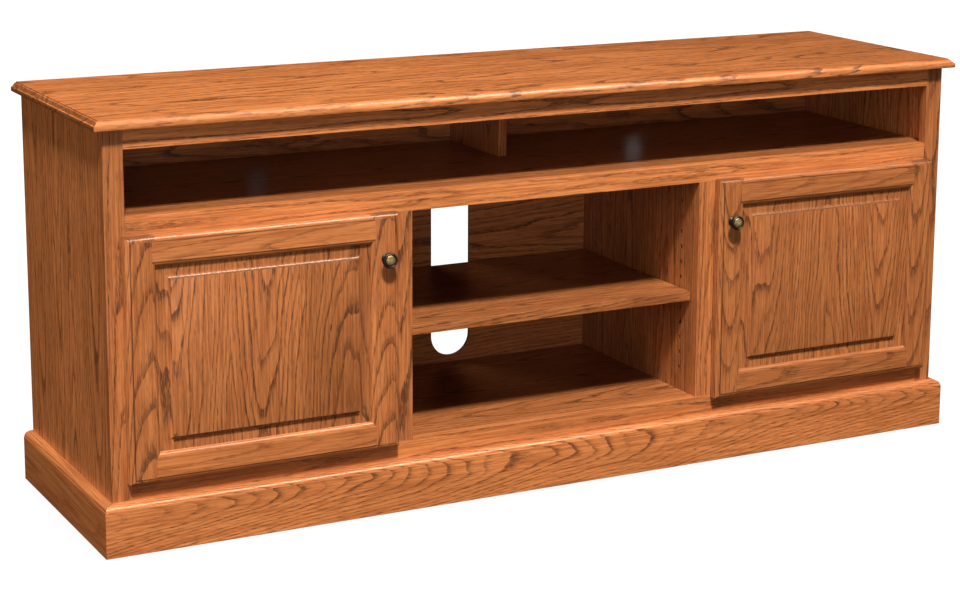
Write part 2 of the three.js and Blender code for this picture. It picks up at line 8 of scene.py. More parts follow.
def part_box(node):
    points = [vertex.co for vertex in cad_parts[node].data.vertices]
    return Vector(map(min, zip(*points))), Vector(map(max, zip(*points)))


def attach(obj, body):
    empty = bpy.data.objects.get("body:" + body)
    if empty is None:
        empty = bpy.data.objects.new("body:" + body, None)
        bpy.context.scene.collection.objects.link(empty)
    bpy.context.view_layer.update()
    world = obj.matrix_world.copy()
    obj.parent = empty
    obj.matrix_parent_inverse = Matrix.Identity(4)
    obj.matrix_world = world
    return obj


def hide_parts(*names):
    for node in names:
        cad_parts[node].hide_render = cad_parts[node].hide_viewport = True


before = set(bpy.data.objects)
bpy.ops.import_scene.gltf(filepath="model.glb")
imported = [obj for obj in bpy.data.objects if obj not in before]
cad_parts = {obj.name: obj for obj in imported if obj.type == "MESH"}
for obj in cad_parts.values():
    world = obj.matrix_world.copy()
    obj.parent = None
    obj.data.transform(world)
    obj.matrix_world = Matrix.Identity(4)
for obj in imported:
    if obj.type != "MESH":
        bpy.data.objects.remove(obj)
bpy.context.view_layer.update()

# The looks of an oak media cabinet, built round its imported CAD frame. Metres throughout: +X is
# the object's right, +Y its back, +Z up, and the doors face -Y.

MM = 0.001

# ---------------------------------------------------------------- camera and light

CAMERA_PLACE = (-2.0699, -3.9508, 1.4237)
CAMERA_AZIMUTH = 27.99
CAMERA_ELEVATION = 11.44
CAMERA_ROLL = 0.42
CAMERA_LENS = 85.94
CAMERA_SHIFT = (-0.0417, -0.10)

KEY_AZIMUTH = 19
KEY_ELEVATION = 57
KEY_ANGLE = 8
KEY_STRENGTH = 5.8
LAMPS = {
    "fill": {"azimuth": 22, "elevation": 3, "distance": 5, "size": (2.6, 0.8), "power": 43},
    "side": {"azimuth": 78, "elevation": 12, "distance": 5, "size": (2.0, 1.2), "power": 70},
    "right": {"azimuth": -75, "elevation": 15, "distance": 5, "size": (2.0, 1.2), "power": 45},
    "rear": {"azimuth": 170, "elevation": 18, "distance": 5, "size": (2.6, 1.2), "power": 60},
}
SOFTBOX = {"azimuth": -26, "elevation": 52, "distance": 3.6, "size": (2.2, 1.1), "power": 180}
REFLECTED_LAMPS = ("fill", "softbox")
LAMPS_AIM = Vector((0, 0, 0.4))
WARM_WHITE = (1.0, 0.90, 0.70)
AMBIENT = 0.025
BACKDROP_RADIUS = 60

# Two dim cards stand behind the cord holes, and only glossy surfaces see them.
CARD_Y = 0.32
CARD_HEIGHT = 0.1
CARD_REACH = 0.7

# ---------------------------------------------------------------- the pieces' own sizes

# Bevels on arrises, and the angle between two faces that counts as an arris.
EASED = 0.7 * MM
SHARP = 0.3 * MM
ARRIS_ANGLE = math.radians(30)

HOLE_SEGMENTS = 24
CORD_HOLE_SEGMENTS = 48
SLOT_SEGMENTS = 96
SHELF_HOLE_RADIUS = 4 * MM
SHELF_HOLE_DEPTH = 10 * MM
SHELF_HOLE_PITCH = 31 * MM
CORD_HOLE_RADIUS = 22 * MM
CORD_HOLE_HEIGHT = 63 * MM
SLOT_X = -8 * MM
SLOT_RADIUS = 44 * MM
SLOT_FOOT = 13.5 * MM
SLOT_HEAD = 14.5 * MM

WIRE_BEND = 3 * MM
CUP_SCREW_RISE = 22.5 * MM
CUP_SCREW_INSET = 25 * MM
PLATE_SCREW_RISE = 15 * MM
PLATE_SCREW_BACK = 6 * MM

# Painted shade in dark lines along the quirk round each door and under each door's top rail: where
# they lie, and half their width.
DOOR_QUIRK_INSET = 9 * MM
DOOR_QUIRK_SHADE_HALF = 1.1 * MM
TOP_RAIL_SHADE_RISE = 8.2 * MM


# ---------------------------------------------------------------- node trees


class Net:
    """A material whose node tree is written as a run of small expressions."""

    def __init__(self, name):
        self.material = bpy.data.materials.new(name)
        self.material.use_nodes = True
        self.tree = self.material.node_tree
        self.tree.nodes.clear()
        self.shader = self.node("ShaderNodeBsdfPrincipled")
        output = self.node("ShaderNodeOutputMaterial")
        self.tree.links.new(self.shader.outputs[0], output.inputs["Surface"])

    def node(self, kind, **settings):
        """A new node, with the given properties set."""
        made = self.tree.nodes.new(kind)
        for key, value in settings.items():
            setattr(made, key, value)
        return made

    def feed(self, socket, value):
        """Links an output to a socket, or sets the socket to a plain value."""
        if isinstance(value, bpy.types.NodeSocket):
            self.tree.links.new(value, socket)
        elif value is not None:
            socket.default_value = value

    def math(self, operation, a, b=None, c=None, clamp=False):
        made = self.node("ShaderNodeMath", operation=operation, use_clamp=clamp)
        for socket, value in zip(made.inputs, (a, b, c)):
            self.feed(socket, value)
        return made.outputs[0]

    def add(self, a, b):
        return self.math("ADD", a, b)

    def sub(self, a, b):
        return self.math("SUBTRACT", a, b)

    def mul(self, a, b):
        return self.math("MULTIPLY", a, b)

    def place(self):
        """The point being shaded, in the object's own coordinates."""
        return self.node("ShaderNodeTexCoord").outputs["Object"]

    def facing(self):
        """The way that the surface faces, in the object's own coordinates."""
        return self.node("ShaderNodeTexCoord").outputs["Normal"]

    def parts(self, vector):
        """A vector's three components."""
        made = self.node("ShaderNodeSeparateXYZ")
        self.feed(made.inputs[0], vector)
        return list(made.outputs)

    def vector(self, x, y, z):
        made = self.node("ShaderNodeCombineXYZ")
        for socket, value in zip(made.inputs, (x, y, z)):
            self.feed(socket, value)
        return made.outputs[0]

    def noise(self, vector, scale, detail=2.0, roughness=0.5):
        made = self.node("ShaderNodeTexNoise")
        self.feed(made.inputs["Vector"], vector)
        made.inputs["Scale"].default_value = scale
        made.inputs["Detail"].default_value = detail
        made.inputs["Roughness"].default_value = roughness
        return made.outputs[0]

    def random(self, value):
        """Three chance numbers from 0 to 1, the same ones for the same value."""
        made = self.node("ShaderNodeTexWhiteNoise", noise_dimensions="1D")
        self.feed(made.inputs["W"], value)
        return made.outputs["Color"]

    def curve(self, value, *stops):
        """A smooth 0 to 1 response through (position, grey) stops."""
        made = self.node("ShaderNodeValToRGB")
        ramp = made.color_ramp
        ramp.interpolation = "EASE"
        while len(ramp.elements) < len(stops):
            ramp.elements.new(0.5)
        for element, (position, grey) in zip(ramp.elements, stops):
            element.position = position
            element.color = (grey, grey, grey, 1)
        self.feed(made.inputs[0], value)
        return made.outputs[0]

    def span(self, value, low, high, to_low, to_high):
        """A value's place between low and high, carried over to another range."""
        made = self.node("ShaderNodeMapRange")
        for socket, number in zip(made.inputs, (value, low, high, to_low, to_high)):
            self.feed(socket, number)
        return made.outputs[0]

    def mix(self, factor, a, b, blend="MIX"):
        made = self.node("ShaderNodeMix", data_type="RGBA", blend_type=blend)
        self.feed(made.inputs[0], factor)
        self.feed(made.inputs[6], a)
        self.feed(made.inputs[7], b)
        return made.outputs[2]

    def bump(self, height, strength, distance):
        made = self.node("ShaderNodeBump")
        made.inputs["Strength"].default_value = strength
        made.inputs["Distance"].default_value = distance
        self.feed(made.inputs["Height"], height)
        self.tree.links.new(made.outputs[0], self.shader.inputs["Normal"])

    def set(self, **values):
        """Feeds the shader's sockets; an underscore stands for a space in a socket's name."""
        for key, value in values.items():
            self.feed(self.shader.inputs[key.replace("_", " ")], value)


# ---------------------------------------------------------------- wood

STAINED = {
    "light": (0.580, 0.196, 0.058, 1),
    "middle": (0.430, 0.126, 0.034, 1),
    "brown": (0.205, 0.058, 0.015, 1),
    "pore": (0.085, 0.027, 0.008, 1),
}
BARE = {
    "light": (0.640, 0.470, 0.290, 1),
    "middle": (0.560, 0.390, 0.225, 1),
    "brown": (0.440, 0.285, 0.150, 1),
    "pore": (0.260, 0.160, 0.085, 1),
}


class Cut:
    """How a board was sawn from its log, which settles the figure on its faces. A wide board
    is glued up from staves; each stave comes from its own log."""

    def __init__(self, low, high, grain, stave=None, seed=0):
        size = high - low
        rest = [axis for axis in range(3) if axis != grain]
        self.grain = grain
        self.thick = min(rest, key=lambda axis: size[axis])
        self.across = next(axis for axis in rest if axis != self.thick)
        self.low = low
        self.middle = (low + high) / 2
        self.stave = stave or size[self.across] * 1.02
        self.seed = seed


def stretched(net, place, cut, along, across, shift):
    """Coordinates stretched along a board's grain, at so many features a metre each way."""
    deep = net.add(net.mul(place[cut.thick], across), shift)
    return net.vector(net.mul(place[cut.grain], along), net.mul(place[cut.across], across), deep)


def wood_fields(net, cut, taper, ring, wobble, fine):
    """Nodes for a board's grain: the dark line of each year's ring, the fibre, the pores, the
    breaks in the lines, a slow drift of tone, and a chance number for each stave."""
    place = net.parts(net.place())
    along = net.sub(place[cut.grain], cut.middle[cut.grain])
    side = net.math("DIVIDE", net.sub(place[cut.across], cut.low[cut.across]), cut.stave)
    index = net.math("FLOOR", side)
    chance = net.parts(net.random(net.add(index, cut.seed * 7.31)))
    off_centre = net.span(chance[0], 0, 1, -0.34, 0.34)
    local = net.mul(net.sub(net.sub(net.math("FRACT", side), 0.5), off_centre), cut.stave)
    level = net.sub(place[cut.thick], cut.middle[cut.thick])
    depth = net.add(level, net.span(chance[1], 0, 1, 0.030, 0.085))
    slide = net.add(net.mul(net.add(chance[2], index), 3.7), cut.seed)

    broad = net.noise(stretched(net, place, cut, 2.4, 11, slide), 1.0, 2.0)
    ragged = net.noise(stretched(net, place, cut, 13, 60, slide), 1.0, 2.0)
    reach = net.math("SQRT", net.add(net.mul(local, local), net.mul(depth, depth)))
    lean = net.mul(along, net.mul(net.sub(net.math("ROUND", chance[0]), 0.5), taper * 2))
    radius = net.add(
        net.add(reach, lean),
        net.add(net.mul(broad, wobble), net.mul(ragged, 0.0030)),
    )
    rings = net.math("DIVIDE", radius, ring)
    tone = net.parts(net.random(net.math("FLOOR", rings)))[0]
    line = net.curve(
        net.math("FRACT", rings),
        (0.0, 0.0), (0.05, 1.0), (0.16, 0.85), (0.34, 0.25), (0.56, 0.0), (1.0, 0.0),
    )
    line = net.mul(line, net.span(tone, 0, 1, 0.35, 1.0))
    fibre = net.noise(stretched(net, place, cut, 7, 300 * fine, slide), 1.0, 2.0, 0.62)
    pores = net.noise(stretched(net, place, cut, 42, 520 * fine, slide), 1.0, 1.0)
    fleck = net.noise(stretched(net, place, cut, 70, 430 * fine, slide), 1.0, 1.0)
    return line, fibre, pores, fleck, broad, chance[2]


def oak(
    name,
    cut,
    palette=STAINED,
    ring=0.0052,
    taper=0.045,
    wobble=0.016,
    contrast=1.0,
    tone_and_painted_light=1.0,
    fine=1.0,
    gloss=0.36,
    lacquer=0.35,
    lacquer_gloss=0.17,
    painted_shade_lines=(),
):
    """Open-grained oak: rings, pores and streaks that follow how the board was cut.

    ring is the width of a year's ring, taper and wobble say how far the rings lean and wander,
    and fine is the closeness of the fibres. The brightness factor is partly the board's own tone
    and partly painted light, lighter or darker for how the light falls on that board. A shade
    line is (axis, position, half its width), and painted shade darkens the colour there."""
    net = Net(name)
    line, fibre, pores, fleck, drift, stave = wood_fields(net, cut, taper, ring, wobble, fine)

    open_pores = net.curve(pores, (0.50, 0.0), (0.66, 1.0))
    ragged = net.curve(fleck, (0.34, 0.45), (0.56, 1.0))
    dark = net.add(
        net.mul(line, ragged),
        net.mul(open_pores, net.span(line, 0, 1, 0.34, 0.60)),
    )
    dark = net.math("MULTIPLY", dark, contrast, clamp=True)

    grain = net.curve(fibre, (0.36, 0.0), (0.64, 1.0))
    warm = net.mix(grain, palette["light"], palette["middle"])
    streak = net.curve(fibre, (0.54, 0.0), (0.72, 1.0))
    warm = net.mix(net.mul(streak, 0.30), warm, palette["brown"])
    broad_tone = net.curve(drift, (0.36, 1.0), (0.66, 0.0))
    body = net.mix(net.mul(broad_tone, 0.22), warm, palette["brown"])
    figure = net.mix(net.mul(dark, 0.85), body, palette["brown"])
    figure = net.mix(net.mul(net.mul(dark, dark), 0.80), figure, palette["pore"])

    # Brightness: a chance tone for each stave, times the board's brightness factor, which is partly
    # its own tone and partly painted light, lighter or darker for how the light falls on that
    # board.
    level = net.mul(net.span(stave, 0, 1, 0.92, 1.08), tone_and_painted_light)
    end_grain = net.math("ABSOLUTE", net.parts(net.facing())[cut.grain])
    level = net.mul(level, net.span(end_grain, 0.25, 0.8, 1.0, 0.45))
    place = net.parts(net.place())
    # Painted shade: the colour is darkened along each shade line.
    for axis, position, half in painted_shade_lines:
        off = net.math("ABSOLUTE", net.sub(place[axis], position))
        level = net.mul(level, net.span(off, half * 0.5, half, 0.38, 1.0))
    colour = net.mix(1.0, figure, net.vector(level, level, level), "MULTIPLY")

    net.set(
        Base_Color=colour,
        Roughness=net.span(dark, 0, 1, gloss, gloss + 0.16),
        Coat_Weight=lacquer,
        Coat_Roughness=lacquer_gloss,
        Coat_IOR=1.5,
        Specular_IOR_Level=0.35,
    )
    net.bump(net.sub(1.0, net.add(net.mul(dark, 0.6), net.mul(open_pores, 0.4))), 0.14, 0.0004)
    return net.material


# ---------------------------------------------------------------- metals and plastics


def nickel():
    """Nickel-plated pressed steel, with faint draw lines and handling marks."""
    net = Net("nickel_plate")
    place = net.place()
    x, y, z = net.parts(place)
    lines = net.noise(net.vector(net.mul(x, 900), net.mul(y, 900), net.mul(z, 60)), 1.0)
    marks = net.noise(place, 55.0, 4.0, 0.65)
    net.set(
        Base_Color=net.mix(marks, (0.60, 0.59, 0.57, 1), (0.74, 0.73, 0.71, 1)),
        Metallic=1.0,
        Roughness=net.span(net.add(net.mul(lines, 0.5), net.mul(marks, 0.5)), 0.3, 0.7, 0.20, 0.38),
    )
    net.bump(lines, 0.08, 0.0002)
    return net.material


def wire_steel():
    """Plain drawn steel wire."""
    net = Net("drawn_wire")
    spots = net.noise(net.place(), 240.0, 3.0, 0.6)
    net.set(
        Base_Color=net.mix(spots, (0.42, 0.42, 0.42, 1), (0.60, 0.60, 0.59, 1)),
        Metallic=1.0,
        Roughness=net.span(spots, 0.3, 0.7, 0.28, 0.46),
    )
    net.bump(spots, 0.08, 0.0001)
    return net.material


def antique_brass(name, centre, groove, rim):
    """Brass darkened all over and rubbed bright on the raised face."""
    net = Net(name)
    x, y, z = net.parts(net.place())
    across = net.sub(x, centre[0])
    up = net.sub(z, centre[2])
    reach = net.math("SQRT", net.add(net.mul(across, across), net.mul(up, up)))
    patina = net.noise(net.place(), 420.0, 4.0, 0.65)
    face = net.span(reach, groove - 0.0012, groove - 0.0002, 1.0, 0.0)
    lip = net.mul(
        net.span(reach, groove + 0.0006, rim - 0.0012, 0.0, 1.0),
        net.span(reach, rim - 0.0008, rim + 0.0002, 1.0, 0.0),
    )
    front = net.span(y, centre[1] + 0.004, centre[1], 0.0, 1.0)
    rubbed = net.mul(front, net.math("MAXIMUM", face, net.mul(lip, 0.35)))
    rubbed = net.mul(rubbed, net.span(patina, 0.35, 0.65, 0.55, 1.0))
    net.set(
        Base_Color=net.mix(rubbed, (0.030, 0.024, 0.017, 1), (0.520, 0.360, 0.130, 1)),
        Metallic=net.span(rubbed, 0, 1, 0.85, 0.20),
        Roughness=net.span(net.add(rubbed, net.mul(patina, 0.3)), 0, 1.3, 0.42, 0.24),
    )
    net.bump(patina, 0.10, 0.0002)
    return net.material


def clear_vinyl():
    """The milky clear plastic of a door bumper."""
    net = Net("clear_vinyl")
    haze = net.noise(net.place(), 300.0, 3.0)
    net.set(
        Base_Color=net.mix(haze, (0.80, 0.80, 0.77, 1), (0.90, 0.90, 0.88, 1)),
        Roughness=net.span(haze, 0.3, 0.7, 0.25, 0.4),
        Transmission_Weight=0.6,
        IOR=1.45,
    )
    return net.material


def floor_paper():
    """A pale studio sweep that glows evenly, with a painted contact shadow: it glows a little less
    where something stands close over it.
    """
    net = Net("studio_floor")
    tooth = net.noise(net.place(), 900.0, 3.0)
    # Painted contact shadow: the glow is weakened where ambient occlusion finds something close
    # above.
    painted_contact_shadow = net.node("ShaderNodeAmbientOcclusion", samples=8)
    painted_contact_shadow.inputs["Distance"].default_value = 0.11
    net.set(
        Base_Color=net.mix(tooth, (0.04, 0.04, 0.04, 1), (0.06, 0.06, 0.06, 1)),
        Emission_Color=(1, 1, 1, 1),
        Emission_Strength=net.span(painted_contact_shadow.outputs["AO"], 0.45, 1.0, 0.84, 1.02),
        Roughness=0.95,
        Specular_IOR_Level=0.1,
    )
    return net.material


# ---------------------------------------------------------------- mesh building


def link(name, bm, body, material, slot, *replaced, smooth=40):
    """Makes an object of a finished bmesh and fastens it to a CAD body."""
    bmesh.ops.recalc_face_normals(bm, faces=bm.faces)
    mesh = bpy.data.meshes.new(name)
    bm.to_mesh(mesh)
    bm.free()
    mesh.materials.append(material)
    made = bpy.data.objects.new(name, mesh)
    bpy.context.scene.collection.objects.link(made)
    for polygon in mesh.polygons:
        polygon.use_smooth = True
    mesh.set_sharp_from_angle(angle=math.radians(smooth))
    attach(made, body)
    if replaced:
        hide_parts(*replaced)
    return made


def dress(node, material, width=EASED):
    """Gives a CAD node its material, welds its facets and takes the sharpness off its arrises."""
    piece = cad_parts[node]
    piece.data.materials.clear()
    piece.data.materials.append(material)
    for polygon in piece.data.polygons:
        polygon.use_smooth = True
    weld = piece.modifiers.new("welded", "WELD")
    weld.merge_threshold = 0.01 * MM
    bevel = piece.modifiers.new("eased", "BEVEL")
    bevel.width = width
    bevel.segments = 2
    bevel.limit_method = "ANGLE"
    bevel.angle_limit = ARRIS_ANGLE
    normals = piece.modifiers.new("flat_faces_stay_flat", "WEIGHTED_NORMAL")
    normals.weight = 100


def ring_of(bm, points):
    """New vertices at the points, in their order."""
    return [bm.verts.new(p) for p in points]


def bridge(bm, rings):
    """Quads between each closed ring of vertices and the next."""
    for a, b in zip(rings, rings[1:]):
        for i in range(len(a)):
            j = (i + 1) % len(a)
            bm.faces.new((a[i], a[j], b[j], b[i]))


def turned_piece(bm, profile, centre, axis, segments):
    """Turns a (radius, distance along the axis) profile; it starts and ends on the axis."""
    turn = Vector((0, 0, 1)).rotation_difference(Vector(axis)).to_matrix()
    centre = Vector(centre)
    rings = []
    for radius, height in profile[1:-1]:
        angles = [2 * math.pi * i / segments for i in range(segments)]
        points = [Vector((radius * math.cos(a), radius * math.sin(a), height)) for a in angles]
        rings.append(ring_of(bm, [centre + turn @ p for p in points]))
    bridge(bm, rings)
    for ring, (_, height) in ((rings[0], profile[0]), (rings[-1], profile[-1])):
        pole = bm.verts.new(centre + turn @ Vector((0, 0, height)))
        for i in range(segments):
            bm.faces.new((ring[i], ring[(i + 1) % segments], pole))


def smooth_profile(points, steps):
    """More points along a profile, on a Catmull-Rom curve through the given ones."""
    out = []
    padded = [points[0], *points, points[-1]]
    for p0, p1, p2, p3 in zip(padded, padded[1:], padded[2:], padded[3:]):
        for k in range(steps):
            t = k / steps
            out.append(tuple(
                0.5 * (2 * b + (c - a) * t + (2 * a - 5 * b + 4 * c - d) * t * t
                       + (3 * b - a - 3 * c + d) * t ** 3)
                for a, b, c, d in zip(p0, p1, p2, p3)
            ))
    return [*out, points[-1]]


# ---------------------------------------------------------------- boards with holes


def circle(centre, radius, segments=HOLE_SEGMENTS):
    """An outline of (across, up) points."""
    turns = [2 * math.pi * i / segments for i in range(segments)]
    return [(centre[0] + radius * math.cos(t), centre[1] + radius * math.sin(t)) for t in turns]


def upright_slot(x, bottom, top, radius):
    """The outline of a slot with round ends, as (across, up) points."""
    half = SLOT_SEGMENTS // 2
    upper = [math.pi * i / half for i in range(half + 1)]
    lower = [math.pi + a for a in upper]
    rise, sink = top - radius, bottom + radius
    return [(x + radius * math.cos(a), rise + radius * math.sin(a)) for a in upper] + [
        (x + radius * math.cos(a), sink + radius * math.sin(a)) for a in lower
    ]


def bored_board(low, high, normal, outlines, depth=None):
    """A board with holes through the faces across one axis. With a depth, the holes are blind
    and start from the face on the side that the sign of depth says."""
    bm = bmesh.new()
    across = 1 if normal == 0 else 0
    ends = (low[normal], high[normal])

    def at(point, level):
        made = Vector((0, 0, 0))
        made[normal] = level
        made[across] = point[0]
        made[2] = point[1]
        return made

    corners = [
        (low[across], low[2]), (high[across], low[2]),
        (high[across], high[2]), (low[across], high[2]),
    ]

    def face_with_holes(level, holes):
        loops = [ring_of(bm, [at(p, level) for p in loop]) for loop in (corners, *holes)]
        edges = []
        for loop in loops:
            edges += [bm.edges.new(pair) for pair in zip(loop, [*loop[1:], loop[0]])]
        bmesh.ops.triangle_fill(bm, use_beauty=True, use_dissolve=False, edges=edges)
        return loops

    if depth is None:
        front = face_with_holes(ends[0], outlines)
        rear = face_with_holes(ends[1], outlines)
        for a, b in zip(front, rear):
            bridge(bm, [a, b])
    else:
        start = ends[1] if depth < 0 else ends[0]
        other = ends[0] if depth < 0 else ends[1]
        near = face_with_holes(start, outlines)
        far = ring_of(bm, [at(p, other) for p in corners])
        bm.faces.new(far)
        bridge(bm, [near[0], far])
        for hole, outline in zip(near[1:], outlines):
            floor = ring_of(bm, [at(p, start + depth) for p in outline])
            bridge(bm, [hole, floor])
            bm.faces.new(floor)
    return bm


# ---------------------------------------------------------------- mouldings


def cyma(a, b, steps=16):
    """Points of an S-shaped curve between two (out, up) points."""
    points = []
    for i in range(steps + 1):
        t = i / steps
        points.append((a[0] + (b[0] - a[0]) * t, a[1] + (b[1] - a[1]) * t * t * (3 - 2 * t)))
    return points


def moulded_slab(low, high, profile, normal=2, back_square=False):
    """A slab whose edges follow a profile of (inset, level) points, level being measured along
    the axis that the slab's faces look along. With back_square its last side is left plain."""
    bm = bmesh.new()
    a, b = (axis for axis in range(3) if axis != normal)

    def at(x, y, level):
        point = Vector((0, 0, 0))
        point[a], point[b], point[normal] = x, y, level
        return point

    rings = []
    for inset, level in profile:
        far = high[b] if back_square else high[b] - inset
        rings.append(ring_of(bm, [
            at(low[a] + inset, low[b] + inset, level),
            at(high[a] - inset, low[b] + inset, level),
            at(high[a] - inset, far, level),
            at(low[a] + inset, far, level),
        ]))
    bridge(bm, rings)
    bm.faces.new(rings[0])
    bm.faces.new(rings[-1])
    return bm


def top_edge(low, high):
    """The top's moulding as (inset, z): a quirk, an S-shaped fall and a square lip."""
    arris = 10 * MM
    quirk = 1.8 * MM
    lip = 8.5 * MM
    soft = 0.8 * MM
    face, foot = high.z, low.z
    return [
        (arris + soft, face),
        (arris + soft * 0.3, face - soft * 0.3),
        (arris, face - quirk),
        *cyma((arris - 0.6 * MM, face - quirk), (0.9 * MM, foot + lip + 0.5 * MM)),
        (0.3 * MM, foot + lip + 0.2 * MM),
        (0, foot + lip - 0.6 * MM),
        (0, foot + 1.4 * MM),
        (0.4 * MM, foot + 0.4 * MM),
        (1.4 * MM, foot),
    ]


# ---------------------------------------------------------------- the cabinet's woods

GRAIN_X, GRAIN_Y, GRAIN_Z = 0, 1, 2


def cut_of(node, grain, **more):
    """The cut of a board that is one CAD node."""
    low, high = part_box(node)
    return Cut(low, high, grain, **more)


def make_top():
    """The top, with its moulded edge on the front and both ends."""
    low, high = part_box("top_slab")
    cut = Cut(low, high, GRAIN_X, stave=0.127, seed=3)
    # The brightness factor is partly the top's own tone and partly painted light.
    wood = oak("oak_top", cut, taper=0.050, wobble=0.050, ring=0.0095, fine=0.42, tone_and_painted_light=1.2)
    bm = moulded_slab(low, high, top_edge(low, high), back_square=True)
    link("top_board", bm, "carcass", wood, "oak", "top_slab")


def shelf_holes():
    """Outlines of the two columns of shelf holes, placed by the wires that sit in them."""
    low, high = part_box("centre_shelf_wire_right")
    radius = (high.z - low.z) / 2
    columns = (low.y + radius, high.y - radius)
    middle = (low.z + high.z) / 2
    rows = [middle + SHELF_HOLE_PITCH * k for k in range(-5, 7)]
    return [circle((y, z), SHELF_HOLE_RADIUS) for y in columns for z in rows]


def make_bored_panels():
    """The sides, with blind shelf holes, and the partitions, which are bored right through."""
    for hand, sign in (("left", -1), ("right", 1)):
        low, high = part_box(f"{hand}_side")
        cut = Cut(low, high, GRAIN_Z, stave=0.118, seed=21 + sign)
        # The brightness factor is partly the side's own tone and partly painted light.
        wood = oak(f"oak_{hand}_side", cut, taper=0.028, ring=0.0062, fine=0.6, tone_and_painted_light=0.94)
        bm = bored_board(low, high, 0, shelf_holes(), depth=SHELF_HOLE_DEPTH * sign)
        link(f"{hand}_side_panel", bm, "carcass", wood, "oak", f"{hand}_side")

        low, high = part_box(f"{hand}_partition")
        cut = Cut(low, high, GRAIN_Z, stave=0.145, seed=31 + sign)
        # The brightness factor is partly the partition's own tone and partly painted light.
        wood = oak(f"oak_{hand}_partition", cut, taper=0.020, ring=0.0055, fine=0.6, tone_and_painted_light=0.86)
        bm = bored_board(low, high, 0, shelf_holes())
        link(f"{hand}_partition_panel", bm, "carcass", wood, "oak", f"{hand}_partition")


def make_back():
    """The back panel, with its tall slot and a cord hole for each upper bay."""
    low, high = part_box("back_panel")
    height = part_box("upper_deck")[1].z + CORD_HOLE_HEIGHT
    bay = (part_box("left_stile")[1].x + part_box("upper_divider")[0].x) / 2
    centres = ((bay, height), (-bay, height))
    cord_holes = [circle(centre, CORD_HOLE_RADIUS, CORD_HOLE_SEGMENTS) for centre in centres]
    cut = Cut(low, high, GRAIN_X, stave=0.21, seed=5)
    # The brightness factor is partly the back's own tone and partly painted shade.
    wood = oak("oak_back", cut, taper=0.03, ring=0.0062, wobble=0.03, tone_and_painted_light=0.9, lacquer=0.25)
    bm = bored_board(low, high, 1, [back_slot(), *cord_holes])
    link("back_board", bm, "carcass", wood, "oak_back", "back_panel")


def back_slot():
    """The outline of the slot behind the middle bay, from its floor to the middle rail."""
    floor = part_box("bottom_deck")[1].z
    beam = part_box("mid_rail")[0].z
    return upright_slot(SLOT_X, floor + SLOT_FOOT, beam - SLOT_HEAD, SLOT_RADIUS)


def dress_boards():
    """The stained boards that keep their CAD shape: (grain, stave's width, seed, looks)."""
    # Each board's brightness factor is partly its own tone and partly painted light, lighter or
    # darker for how the light falls on that board.
    deck = {"tone_and_painted_light": 0.78, "lacquer": 0.3, "lacquer_gloss": 0.2, "gloss": 0.34, "fine": 0.5}
    boards = {
        "upper_deck": (GRAIN_X, 0.16, 41, deck),
        "bottom_deck": (GRAIN_X, 0.16, 42, deck),
        "centre_shelf": (GRAIN_X, 0.15, 46, deck),
        "left_shelf": (GRAIN_X, 0.15, 44, {}),
        "right_shelf": (GRAIN_X, 0.15, 45, {}),
        "upper_divider": (GRAIN_Z, 0.12, 46, {}),
        "left_stile": (GRAIN_Z, None, 51, {"taper": 0.020, "tone_and_painted_light": 0.80}),
        "right_stile": (GRAIN_Z, None, 52, {"taper": 0.020, "tone_and_painted_light": 0.85}),
        "left_mullion": (GRAIN_Z, None, 53, {"taper": 0.040, "tone_and_painted_light": 0.92}),
        "right_mullion": (GRAIN_Z, None, 54, {"taper": 0.016, "tone_and_painted_light": 1.15}),
        "top_rail": (GRAIN_X, None, 55, {"taper": 0.006, "tone_and_painted_light": 1.30}),
        "mid_rail": (GRAIN_X, None, 56, {"taper": 0.008, "tone_and_painted_light": 1.18, "contrast": 0.8}),
        "bottom_rail": (GRAIN_X, None, 57, {"taper": 0.008, "tone_and_painted_light": 1.12, "contrast": 0.8}),
        "plinth_front": (GRAIN_X, None, 58, {"taper": 0.10, "wobble": 0.035, "tone_and_painted_light": 1.12}),
        "plinth_left": (GRAIN_Y, None, 59, {"taper": 0.02, "contrast": 0.4, "tone_and_painted_light": 0.78}),
        "plinth_right": (GRAIN_Y, None, 60, {"taper": 0.02, "contrast": 0.4, "tone_and_painted_light": 0.78}),
    }
    for node, (grain, stave, seed, looks) in boards.items():
        cut = cut_of(node, grain, stave=stave, seed=seed)
        dress(node, oak(f"oak_{node}", cut, **looks), SHARP)


def dress_bare_wood():
    """The unstained blocks and rails that are hidden inside."""
    pieces = {
        "top_cleat_front": GRAIN_X,
        "top_cleat_rear": GRAIN_X,
        "rear_foot_rail": GRAIN_X,
        "centre_foot": GRAIN_Y,
        "left_corner_block": GRAIN_Z,
        "right_corner_block": GRAIN_Z,
    }
    for seed, (node, grain) in enumerate(pieces.items(), 71):
        wood = oak(
            f"bare_{node}", cut_of(node, grain, seed=seed), BARE,
            contrast=0.7, gloss=0.62, lacquer=0.0,
        )
        dress(node, wood)


def raised_edge(low, high):
    """A raised panel's section as (inset, y): a tongue, a low slope, a cove and a shoulder."""
    tongue = low.y + 6.4 * MM
    tongue_width = 8.5 * MM
    slope_end = 24 * MM
    slope_fall = 0.8 * MM
    cove_width = 8.5 * MM
    cove_rise = 5.6 * MM
    shoulder = slope_end + cove_width
    steps = 12
    cove = []
    for step in range(steps + 1):
        turn = math.pi / 2 * step / steps
        across, up = cove_width * math.sin(turn), cove_rise * (1 - math.cos(turn))
        cove.append((slope_end + across, tongue + slope_fall - up))
    return [
        (0, high.y),
        (0, tongue),
        (tongue_width, tongue),
        *cove,
        (shoulder + 0.1 * MM, low.y + 0.7 * MM),
        (shoulder + 0.4 * MM, low.y + 0.2 * MM),
        (shoulder + 1.0 * MM, low.y),
    ]


